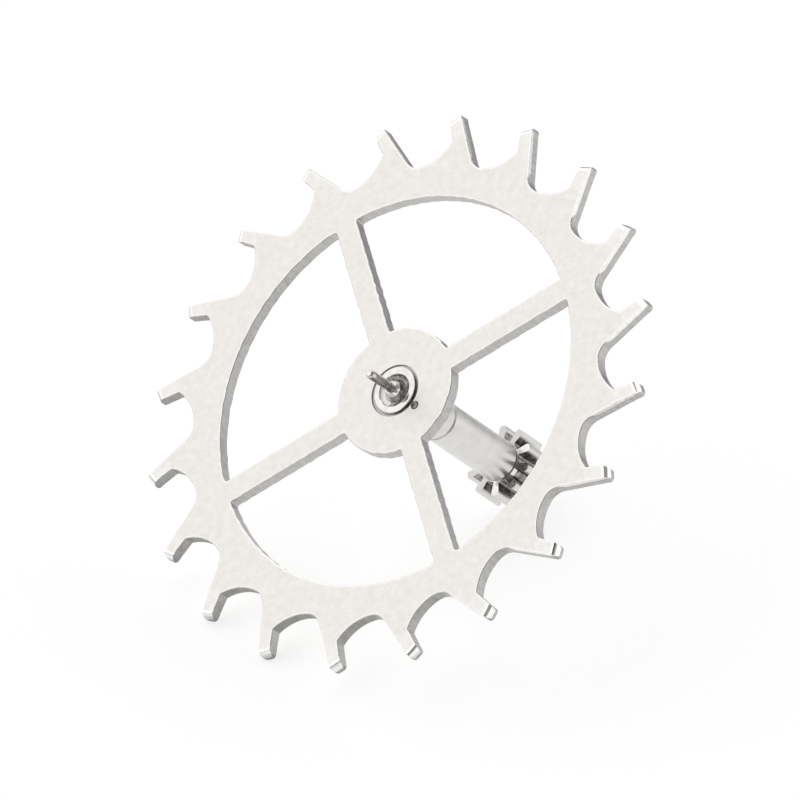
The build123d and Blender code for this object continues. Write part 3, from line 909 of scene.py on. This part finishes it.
def resting_plane():
    """A point of the floor and its upward direction."""
    out = Vector((*polar(1, FIRST_HEEL - REST_PITCHES * PITCH + REST_SHIFT), 0))
    reach = (TIP_RADIUS + REST_SWELL) * math.cos(math.radians(PITCH / 2))
    up = math.atan2(reach - REST_PIVOT, BACK + THICKNESS * REST_SHARE)
    normal = (Vector((0, 0, 1)) * math.sin(up) - out * math.cos(up)).normalized()
    return out * REST_PIVOT, normal


def clearing(tree, at, where, direction, first, last, low, high):
    """Brightness that changes smoothly from low to high, as the place read goes from first to
    last along a direction."""
    along = add(tree, "ShaderNodeVectorMath", at, {0: where, 1: direction}, operation="DOT_PRODUCT")
    level = add(tree, "ShaderNodeMapRange", (at[0] + 200, at[1]), {
        "Value": along.outputs["Value"], "From Min": first, "From Max": last,
        "To Min": low, "To Max": high}, interpolation_type="SMOOTHSTEP")
    return level.outputs[0]


def floor_paper():
    """White paper on a light table, seen only from above. Reflections see it end in the dark
    room some way from the object, and darker in the rim's shadow."""
    material = bpy.data.materials.new("white_paper")
    material.use_nodes = True
    tree = material.node_tree
    tree.nodes.clear()
    where = add(tree, "ShaderNodeTexCoord", (-1400, 0)).outputs["Object"]
    reach = add(tree, "ShaderNodeVectorMath", (-1200, 0), {0: where, 1: resting_plane()[0] * MM},
                operation="DISTANCE").outputs["Value"]
    levels = []
    for first, last, low, high in ((*PAPER_EDGE, 1.0, ROOM_DARK), (*RIM_SHADOW[:2], 1.0, NEAR_SHADE),
                                   (*RIM_SHADOW[2:], NEAR_SHADE, 1.0)):
        level = add(tree, "ShaderNodeMapRange", (-1000, -280 * len(levels)), {
            "Value": reach, "From Min": first * MM, "From Max": last * MM, "To Min": low,
            "To Max": high}, interpolation_type="SMOOTHSTEP")
        levels.append(level.outputs[0])
    far, inner, outer = levels
    for direction, _, _, clear in OPEN_SIDES:
        side = clearing(tree, (-1000, -900), where, camera_direction(*direction),
                        OPEN_REACH[0] * MM, OPEN_REACH[1] * MM, ROOM_DARK, clear)
        far = add(tree, "ShaderNodeMath", (-600, 0), {0: far, 1: side}, operation="MAXIMUM").outputs[0]
    near = add(tree, "ShaderNodeMath", (-600, -300), {0: inner, 1: outer}, operation="MAXIMUM")
    mirrored = add(tree, "ShaderNodeMath", (-400, 0), {0: far, 1: near.outputs[0]}, operation="MULTIPLY")
    path = add(tree, "ShaderNodeLightPath", (-400, 300))
    level = add(tree, "ShaderNodeMath", (-200, 100),
                {0: mirrored.outputs[0], 1: path.outputs["Is Camera Ray"]}, operation="MAXIMUM")
    shade, shine = (add(tree, "ShaderNodeMath", (0, 200 - 150 * i), {0: level.outputs[0], 1: share},
                        operation="MULTIPLY").outputs[0]
                    for i, share in enumerate((PAPER_SHADE, PAPER_GLOW)))
    paper = add(tree, "ShaderNodeBsdfDiffuse", (200, 200), {"Color": shade})
    glow = add(tree, "ShaderNodeEmission", (200, 50), {"Strength": shine})
    lit = add(tree, "ShaderNodeAddShader", (400, 120), {0: paper.outputs[0], 1: glow.outputs[0]})
    clear = add(tree, "ShaderNodeBsdfTransparent", (400, -50))
    side = add(tree, "ShaderNodeNewGeometry", (400, 300))
    mix = add(tree, "ShaderNodeMixShader", (600, 0),
              {0: side.outputs["Backfacing"], 1: lit.outputs[0], 2: clear.outputs[0]})
    add(tree, "ShaderNodeOutputMaterial", (800, 0), {"Surface": mix.outputs[0]})
    return material


def make_floor():
    point, normal = resting_plane()
    a = normal.orthogonal().normalized()
    b = normal.cross(a)
    point = point - normal * FLOOR_DROP
    corners = [point + (a * i + b * j) * FLOOR_HALF for i, j in ((-1, -1), (1, -1), (1, 1), (-1, 1))]
    mesh = bpy.data.meshes.new("floor")
    mesh.from_pydata([tuple(c * MM) for c in corners], [], [(0, 1, 2, 3)])
    mesh.materials.append(floor_paper())
    if mesh.polygons[0].normal.dot(normal) < 0:
        mesh.flip_normals()
    floor = bpy.data.objects.new("floor", mesh)
    bpy.context.scene.collection.objects.link(floor)


def make_world():
    """A white light tent over the paper, open towards the camera and at the horizon, where
    polished steel shows the dark room."""
    world = bpy.data.worlds.new("light_tent")
    bpy.context.scene.world = world
    world.use_nodes = True
    tree = world.node_tree
    tree.nodes.clear()
    where = add(tree, "ShaderNodeTexCoord", (-1400, 0)).outputs["Generated"]
    dark = []
    for direction, patch in (((0, 0, 1), LENS_PATCH), (ARM, ARM_PATCH)):
        inner, outer = (math.cos(math.radians(a)) for a in patch)
        dark.append(clearing(tree, (-1150, -200 * len(dark)), where, camera_direction(*direction),
                             outer, inner, 1.0, LENS_DARK))
    start, end = (math.sin(math.radians(a)) for a in HORIZON)
    above = clearing(tree, (-1150, -400), where, resting_plane()[1], start, end, ROOM_DARK, 1.0)
    for direction, first, last, clear in OPEN_SIDES:
        side = clearing(tree, (-1150, -600), where, camera_direction(*direction), first, last,
                        ROOM_DARK, clear)
        above = add(tree, "ShaderNodeMath", (-700, -400), {0: above, 1: side},
                    operation="MAXIMUM").outputs[0]
    level = TENT_LIGHT
    for share in (*dark, above):
        level = add(tree, "ShaderNodeMath", (-450, 0), {0: share, 1: level},
                    operation="MULTIPLY").outputs[0]
    tent = add(tree, "ShaderNodeBackground", (0, 0), {"Color": (1, 0.998, 0.995, 1), "Strength": level})
    seen = add(tree, "ShaderNodeBackground", (0, -200), {"Color": (1, 1, 1, 1)})
    path = add(tree, "ShaderNodeLightPath", (-200, 300))
    mix = add(tree, "ShaderNodeMixShader", (250, 0), {
        0: path.outputs["Is Camera Ray"], 1: tent.outputs[0], 2: seen.outputs[0]})
    add(tree, "ShaderNodeOutputWorld", (450, 0), {"Surface": mix.outputs[0]})


# The scene
lapped, shaded_milled, polished, satin = lapped_steel(), milled_and_shaded_steel(), polished_steel(), satin_steel()
shade_and_dark_patch, highlight_worn_edge = dark_patch_and_shade_steel(), worn_highlight_steel()
ends = polished_steel("polished_end_steel", ("#f1f0ee", "#fdfdfc"))
clubs_lit = lapped_steel("lit_club_steel", ("#eeebe8", "#f9f7f4"))
brown_shade = polished_steel("brown_shade_steel", ("#d3c8c2", "#eee7e2"))
wheel = build_wheel([lapped, shaded_milled, ends, highlight_worn_edge, shade_and_dark_patch, clubs_lit])
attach(wheel, "root")
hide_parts("escape_wheel")
pinion = build_pinion([polished, satin, polished, shade_and_dark_patch, brown_shade])
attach(pinion, "root")
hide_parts("escape_pinion")
for node, main in (("escape_wheel", lapped), ("escape_pinion", satin)):
    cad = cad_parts[node]
    cad.data.materials.clear()
    cad.data.materials.append(main)

make_camera()
make_floor()
make_world()
bpy.context.scene.view_settings.view_transform = "Standard"
